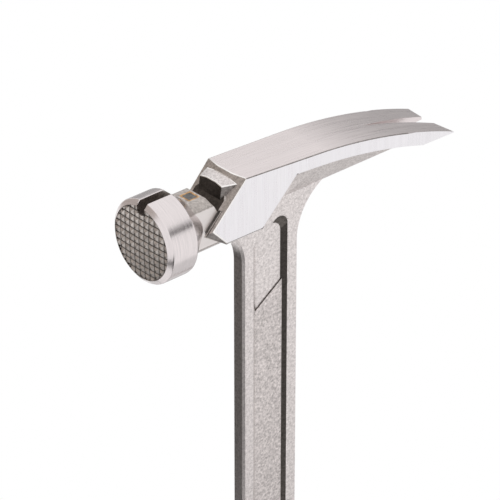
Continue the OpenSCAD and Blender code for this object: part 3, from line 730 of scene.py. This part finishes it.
softLooks = {
    "sleeveRubber": {"dark": (0.02, 0.02, 0.021), "light": (0.034, 0.034, 0.036), "grain": 1100, "lump": 420,
                     "rough": (0.46, 0.66), "bump": 0.7, "depth": 0.14 * mm},
    "padRubber": {"dark": (0.07, 0.07, 0.074), "light": (0.105, 0.105, 0.11), "grain": 2000, "lump": 200,
                  "rough": (0.55, 0.7), "bump": 0.4, "depth": 0.05 * mm},
    "trimPlastic": {"dark": (0.035, 0.035, 0.037), "light": (0.052, 0.052, 0.055), "grain": 1600, "lump": 120,
                    "rough": (0.36, 0.48), "bump": 0.25, "depth": 0.04 * mm},
    "coreNylon": {"dark": (0.1, 0.1, 0.11), "light": (0.14, 0.14, 0.15), "grain": 1400, "lump": 300,
                  "rough": (0.45, 0.6), "bump": 0.3, "depth": 0.05 * mm},
    "damperRubber": {"dark": (0.06, 0.075, 0.075), "light": (0.1, 0.12, 0.12), "grain": 1800, "lump": 260,
                     "rough": (0.6, 0.75), "bump": 0.4, "depth": 0.05 * mm},
}
softs = {name: mouldedFinish(name, look) for name, look in softLooks.items()}
zincSteel = blastedSteel("zincSteel", {
    "dark": (0.5, 0.5, 0.5), "light": (0.7, 0.7, 0.7), "grain": 1600, "lump": 300, "lumpy": 0.6,
    "rough": (0.4, 0.28), "bump": 0.12, "depth": 0.03 * mm})

sleeve = {
    "low": 5 * mm,
    "length": 164 * mm,
    "rows": 22,               # rows of faces along the sleeve
    "rim": 0.7 * mm,
    "rimTurn": 60,
    "rimLow": 5.5 * mm,
    "rimHigh": 168.5 * mm,
    "fingerLow": 44 * mm,
    "fingerHigh": 158 * mm,
    "fingerGap": 0.9 * mm,    # rubber left between two finger grooves
    "fingerDepth": -0.7 * mm,
    "fingerTurn": 0.42,       # the grooves lie where the sleeve faces forwards or back
    "rounding": 2,
    "smooth": 50,
}


def rowOf(z):  # which row of the sleeve a height lies in
    return int((z - sleeve["low"]) / (sleeve["length"] / sleeve["rows"]))


def facesOut(place, normal):
    return place.x * normal.x + place.y * normal.y > 0


def makeSleeve():
    piece = cadCopy("grip_sleeve", "gripSleeve")
    makeQuads(piece)

    def sleeveRimEdge(edge):
        z = middle(edge).z
        return turns(edge, sleeve["rimTurn"]) and (z < sleeve["rimLow"] or z > sleeve["rimHigh"])

    def fingerRow(place, normal):
        inReach = sleeve["fingerLow"] < place.z < sleeve["fingerHigh"]
        sideways = abs(normal.x) > sleeve["fingerTurn"] and abs(normal.z) < 0.5
        return facesOut(place, normal) and inReach and sideways and rowOf(place.z) % 2 == 0

    chooseEdges(piece, sleeveRimEdge)
    bevelChosen(piece, sleeve["rim"], 2)
    print("finger grooves", chooseFaces(piece, fingerRow))
    bpy.ops.mesh.inset(thickness=sleeve["fingerGap"], depth=sleeve["fingerDepth"], use_boundary=True)
    bpy.ops.object.mode_set(mode="OBJECT")
    addSubdivision(piece, sleeve["rounding"])
    smoothByAngle(piece, sleeve["smooth"])
    finishPiece(piece, "grip_sleeve", softs["sleeveRubber"])


pads = {
    "tilt": math.radians(24),  # slant of the ribs
    "pitch": 2.4 * mm,
    "margin": 6 * mm,
    "ribEdge": 0.45 * mm,
    "grooveDepth": -0.6 * mm,
    "smooth": 25,
}


def makePad(nodeName, pieceName, side):
    piece = cadCopy(nodeName, pieceName)
    low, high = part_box(nodeName)
    slant = Vector((math.sin(pads["tilt"]), 0, math.cos(pads["tilt"])))
    start = low[2] + pads["margin"]
    steps = int((high[2] - low[2] - 2 * pads["margin"]) / pads["pitch"])
    bpy.ops.object.mode_set(mode="EDIT")
    for step in range(steps + 1):
        bpy.ops.mesh.select_all(action="SELECT")
        bpy.ops.mesh.bisect(plane_co=(0, 0, start + step * pads["pitch"]), plane_no=slant)

    def grooveRow(place, normal):
        row = (place - Vector((0, 0, start))).dot(slant) / (pads["pitch"] * slant.z)
        return normal.y * side > 0.5 and 0 < row < steps and int(row) % 2 == 1

    print("pad grooves", chooseFaces(piece, grooveRow))
    bpy.ops.mesh.inset(thickness=pads["ribEdge"], depth=pads["grooveDepth"], use_boundary=True)
    bpy.ops.object.mode_set(mode="OBJECT")
    smoothByAngle(piece, pads["smooth"])
    finishPiece(piece, nodeName, softs["padRubber"])


collar = {
    "bandGap": 2.6 * mm,       # plain rim above and below the sunk band
    "bandDepth": -0.45 * mm,
    "smooth": 32,
}


def makeCollar():
    piece = cadCopy("grip_collar", "gripCollar")
    flattenFaces(piece)
    low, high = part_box("grip_collar")
    wallTop = (low[2] + high[2]) / 2 + collar["bandGap"]  # the stepped top lies above this

    def bandFace(place, normal):
        return facesOut(place, normal) and abs(normal.z) < 0.1 and place.z < wallTop

    print("collar band", chooseFaces(piece, bandFace))
    bpy.ops.mesh.inset(thickness=collar["bandGap"], depth=collar["bandDepth"], use_boundary=True)
    bpy.ops.object.mode_set(mode="OBJECT")
    smoothByAngle(piece, collar["smooth"])
    finishPiece(piece, "grip_collar", softs["trimPlastic"])


cap = {
    "edge": 0.5 * mm,
    "edgeTurn": 60,
    "footTop": 0.2 * mm,       # only edges below this are rounded
    "smooth": 32,
}


def makeCap():
    piece = cadCopy("butt_cap", "buttCap")
    flattenFaces(piece)
    chooseEdges(piece, lambda edge: turns(edge, cap["edgeTurn"]) and middle(edge).z < cap["footTop"])
    bevelChosen(piece, cap["edge"], 3)
    smoothByAngle(piece, cap["smooth"])
    finishPiece(piece, "butt_cap", softs["trimPlastic"])


screws = {
    "headRadius": 2.5 * mm,
    "headTop": 2.1 * mm,
    "socketWidth": 2.4 * mm,
    "socketDepth": 1.0 * mm,
    "edge": 0.12 * mm,
    "edgeTurn": 60,
    "smooth": 35,
}


def makeScrews():
    piece = cadCopy("cap_screws", "capScrews")
    flattenFaces(piece)
    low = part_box("cap_screws")[0]
    middleY = -low[1] - screws["headRadius"]
    for side in (-1, 1):
        deselectAll()
        bpy.ops.mesh.primitive_cylinder_add(
            vertices=6, radius=screws["socketWidth"] / 2, depth=2 * screws["socketDepth"],
            location=(0, side * middleY, low[2]))
        cutter = bpy.context.active_object
        makeActive(piece)
        cut = piece.modifiers.new("hexSocket", "BOOLEAN")
        cut.operation = "DIFFERENCE"
        cut.solver = "EXACT"
        cut.object = cutter
        bpy.ops.object.modifier_apply(modifier=cut.name)
        bpy.data.objects.remove(cutter, do_unlink=True)

    def headEdge(edge):
        small = edge.calc_length() < mm and middle(edge).z < screws["headTop"]
        return turns(edge, screws["edgeTurn"]) and small

    chooseEdges(piece, headEdge)
    bevelChosen(piece, screws["edge"], 2)
    smoothByAngle(piece, screws["smooth"])
    finishPiece(piece, "cap_screws", zincSteel)


eyelet = {
    "edge": 0.35 * mm,
    "edgeTurn": 60,
    "smooth": 35,
}


def makeEyelet():
    piece = cadCopy("lanyard_eyelet", "lanyardEyelet")
    flattenFaces(piece)
    bevelSharp(piece, eyelet["edgeTurn"], eyelet["edge"], 3)
    smoothByAngle(piece, eyelet["smooth"])
    finishPiece(piece, "lanyard_eyelet", zincSteel)


def dressNode(nodeName, material):
    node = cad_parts[nodeName]
    node.data.materials.clear()
    node.data.materials.append(material)


makeSleeve()
makePad("palm_pad_left", "palmPadLeft", 1)
makePad("palm_pad_right", "palmPadRight", -1)
makeCollar()
makeCap()
makeScrews()
makeEyelet()
for nodeName in ("grip_core_left", "grip_core_right"):
    dressNode(nodeName, softs["coreNylon"])
for nodeName in ("damper_front", "damper_rear"):
    dressNode(nodeName, softs["damperRubber"])
dressNode("core_rivets", zincSteel)
print("grip finished")


# Studio: floor, world, lamps and cards that only metal sees

studio = {
    "floorSize": 16.0,
    "floorDrop": 0.2 * mm,
    "floorColour": (0.9, 0.9, 0.9),
    "floorWhite": 0.75,    # how much of the floor is plain white to the eye, near the foot
    "shadowReach": (0.12, 0.28),  # beyond this the floor is all white
    "ambient": 0.45,
}
lamps = {
    "overhead": {"place": (0.1, 0.1, 1.7), "size": 1.4, "power": 9},
    "frontFill": {"place": (0.9, -1.2, 1.0), "size": 0.9, "power": 7},
    "rearFill": {"place": (0.8, 1.3, 1.1), "size": 0.9, "power": 6},
}
cards = {
    "leftFloorCard": {"place": (-0.33, -0.5, 0), "wide": 0.42, "high": 0.7, "faces": (0, 0, 1),
                      "colour": (0.01, 0.009, 0.008)},
    "backFloorCard": {"place": (-0.44, 0.45, 0), "wide": 0.68, "high": 0.66, "faces": (0, 0, 1),
                      "colour": (0.01, 0.009, 0.008)},
    "leftCard": {"place": (-0.6, 0.7, 0.75), "wide": 1.7, "high": 1.5, "faces": (0.67, -0.74, 0),
                 "colour": (0.5, 0.46, 0.43)},
    "rearCard": {"place": (0.9, 0.75, 0.36), "wide": 1.6, "high": 0.8, "faces": (-0.77, -0.64, 0),
                 "colour": (0.41, 0.41, 0.41)},
    "rearFloorCard": {"place": (0.42, 0.46, 0), "wide": 0.6, "high": 0.4, "faces": (0, 0, 1),
                      "colour": (0.15, 0.145, 0.14)},
    "bandCard": {"place": (0.5, -0.72, 0.74), "wide": 1.3, "high": 0.15, "faces": (-0.57, 0.82, 0),
                 "colour": (0.05, 0.047, 0.045)},
    "bandTopCard": {"place": (0.5, -0.72, 0.89), "wide": 1.3, "high": 0.15, "faces": (-0.57, 0.82, 0),
                    "colour": (0.55, 0.55, 0.55)},
    "nearFloorCard": {"place": (0.35, -0.01, 0), "wide": 0.8, "high": 0.52, "faces": (0, 0, 1),
                      "colour": (0.72, 0.72, 0.72)},
}
aim = Vector((0, 0, headAxis))


def whiteToTheEye(tree):  # 1 for what the camera sees, directly or in metal and glass
    path = addNode(tree, "ShaderNodeLightPath")
    first = addNode(tree, "ShaderNodeMath", operation="MAXIMUM")
    both = addNode(tree, "ShaderNodeMath", operation="MAXIMUM")
    tree.links.new(path.outputs["Is Camera Ray"], first.inputs[0])
    tree.links.new(path.outputs["Is Glossy Ray"], first.inputs[1])
    tree.links.new(first.outputs[0], both.inputs[0])
    tree.links.new(path.outputs["Is Transmission Ray"], both.inputs[1])
    return both.outputs[0]


def makeFloor():
    deselectAll()
    bpy.ops.mesh.primitive_plane_add(size=studio["floorSize"], location=(0, 0, -studio["floorDrop"]))
    floor = bpy.context.active_object
    floor.name = "studioFloor"
    material = bpy.data.materials.new("floorPaper")
    material.use_nodes = True
    tree = material.node_tree
    tree.nodes.clear()
    paper = addNode(tree, "ShaderNodeBsdfDiffuse", {"Color": (*studio["floorColour"], 1)})
    glow = addNode(tree, "ShaderNodeEmission", {"Color": (1, 1, 1, 1), "Strength": 1.0})
    coords = addNode(tree, "ShaderNodeTexCoord")
    away = addNode(tree, "ShaderNodeVectorMath", operation="LENGTH")
    tree.links.new(coords.outputs["Object"], away.inputs[0])
    near, far = studio["shadowReach"]
    white = addNode(tree, "ShaderNodeMapRange", {
        "From Min": near, "From Max": far, "To Min": studio["floorWhite"], "To Max": 1.0})
    tree.links.new(away.outputs["Value"], white.inputs["Value"])
    share = addNode(tree, "ShaderNodeMath", operation="MULTIPLY")
    tree.links.new(white.outputs["Result"], share.inputs[1])
    tree.links.new(whiteToTheEye(tree), share.inputs[0])
    mix = addNode(tree, "ShaderNodeMixShader")
    tree.links.new(share.outputs[0], mix.inputs["Fac"])
    tree.links.new(paper.outputs[0], mix.inputs[1])
    tree.links.new(glow.outputs[0], mix.inputs[2])
    end = addNode(tree, "ShaderNodeOutputMaterial")
    tree.links.new(mix.outputs[0], end.inputs["Surface"])
    floor.data.materials.append(material)


def makeWorld():
    world = bpy.data.worlds.new("studio")
    bpy.context.scene.world = world
    world.use_nodes = True
    tree = world.node_tree
    tree.nodes.clear()
    dim = addNode(tree, "ShaderNodeBackground", {"Color": (1, 1, 1, 1), "Strength": studio["ambient"]})
    white = addNode(tree, "ShaderNodeBackground", {"Color": (1, 1, 1, 1), "Strength": 1.0})
    mix = addNode(tree, "ShaderNodeMixShader")
    tree.links.new(whiteToTheEye(tree), mix.inputs["Fac"])
    tree.links.new(dim.outputs[0], mix.inputs[1])
    tree.links.new(white.outputs[0], mix.inputs[2])
    end = addNode(tree, "ShaderNodeOutputWorld")
    tree.links.new(mix.outputs[0], end.inputs["Surface"])


def makeLamps():
    for name, lamp in lamps.items():
        deselectAll()
        bpy.ops.object.light_add(type="AREA", location=lamp["place"])
        light = bpy.context.active_object
        light.name = name
        light.data.size = lamp["size"]
        light.data.energy = lamp["power"]
        light.rotation_euler = (aim - light.location).to_track_quat("-Z", "Y").to_euler()
        light.visible_glossy = False  # metal shows the room and the cards


def makeCards():
    for name, card in cards.items():
        deselectAll()
        bpy.ops.mesh.primitive_plane_add(size=1, location=card["place"])
        plane = bpy.context.active_object
        plane.name = name
        plane.scale = (card["wide"], card["high"], 1)
        if card["faces"][2] < 1:
            plane.rotation_euler = Vector(card["faces"]).to_track_quat("Z", "Y").to_euler()
        plane.visible_camera = False
        plane.visible_diffuse = False
        plane.visible_shadow = False
        material = bpy.data.materials.new(name + "Paper")
        material.use_nodes = True
        tree = material.node_tree
        tree.nodes.clear()
        glow = addNode(tree, "ShaderNodeEmission", {"Color": (*card["colour"], 1), "Strength": 1.0})
        end = addNode(tree, "ShaderNodeOutputMaterial")
        tree.links.new(glow.outputs[0], end.inputs["Surface"])
        plane.data.materials.append(material)


makeFloor()
makeWorld()
makeLamps()
makeCards()
print("studio ready")


# Camera, solved from the photograph's straight edges

view = {
    "azimuth": -41.80,
    "elevation": 30.37,
    "distance": 1346.18 * mm,
    "target": (-8.76 * mm, 0, 335.54 * mm),
    "lens": 230.4,
    "sensor": 36,
    "clipStart": 10 * mm,
}


def makeCamera():
    azimuth = math.radians(view["azimuth"])
    elevation = math.radians(view["elevation"])
    back = Vector((math.sin(azimuth) * math.cos(elevation),
                   -math.cos(azimuth) * math.cos(elevation),
                   math.sin(elevation)))
    place = Vector(view["target"]) + back * view["distance"]
    deselectAll()
    bpy.ops.object.camera_add(location=place, rotation=(-back).to_track_quat("-Z", "Y").to_euler())
    camera = bpy.context.active_object
    camera.data.lens = view["lens"]
    camera.data.sensor_width = view["sensor"]
    camera.data.clip_start = view["clipStart"]
    bpy.context.scene.camera = camera


makeCamera()
bpy.context.scene.view_settings.view_transform = "Standard"
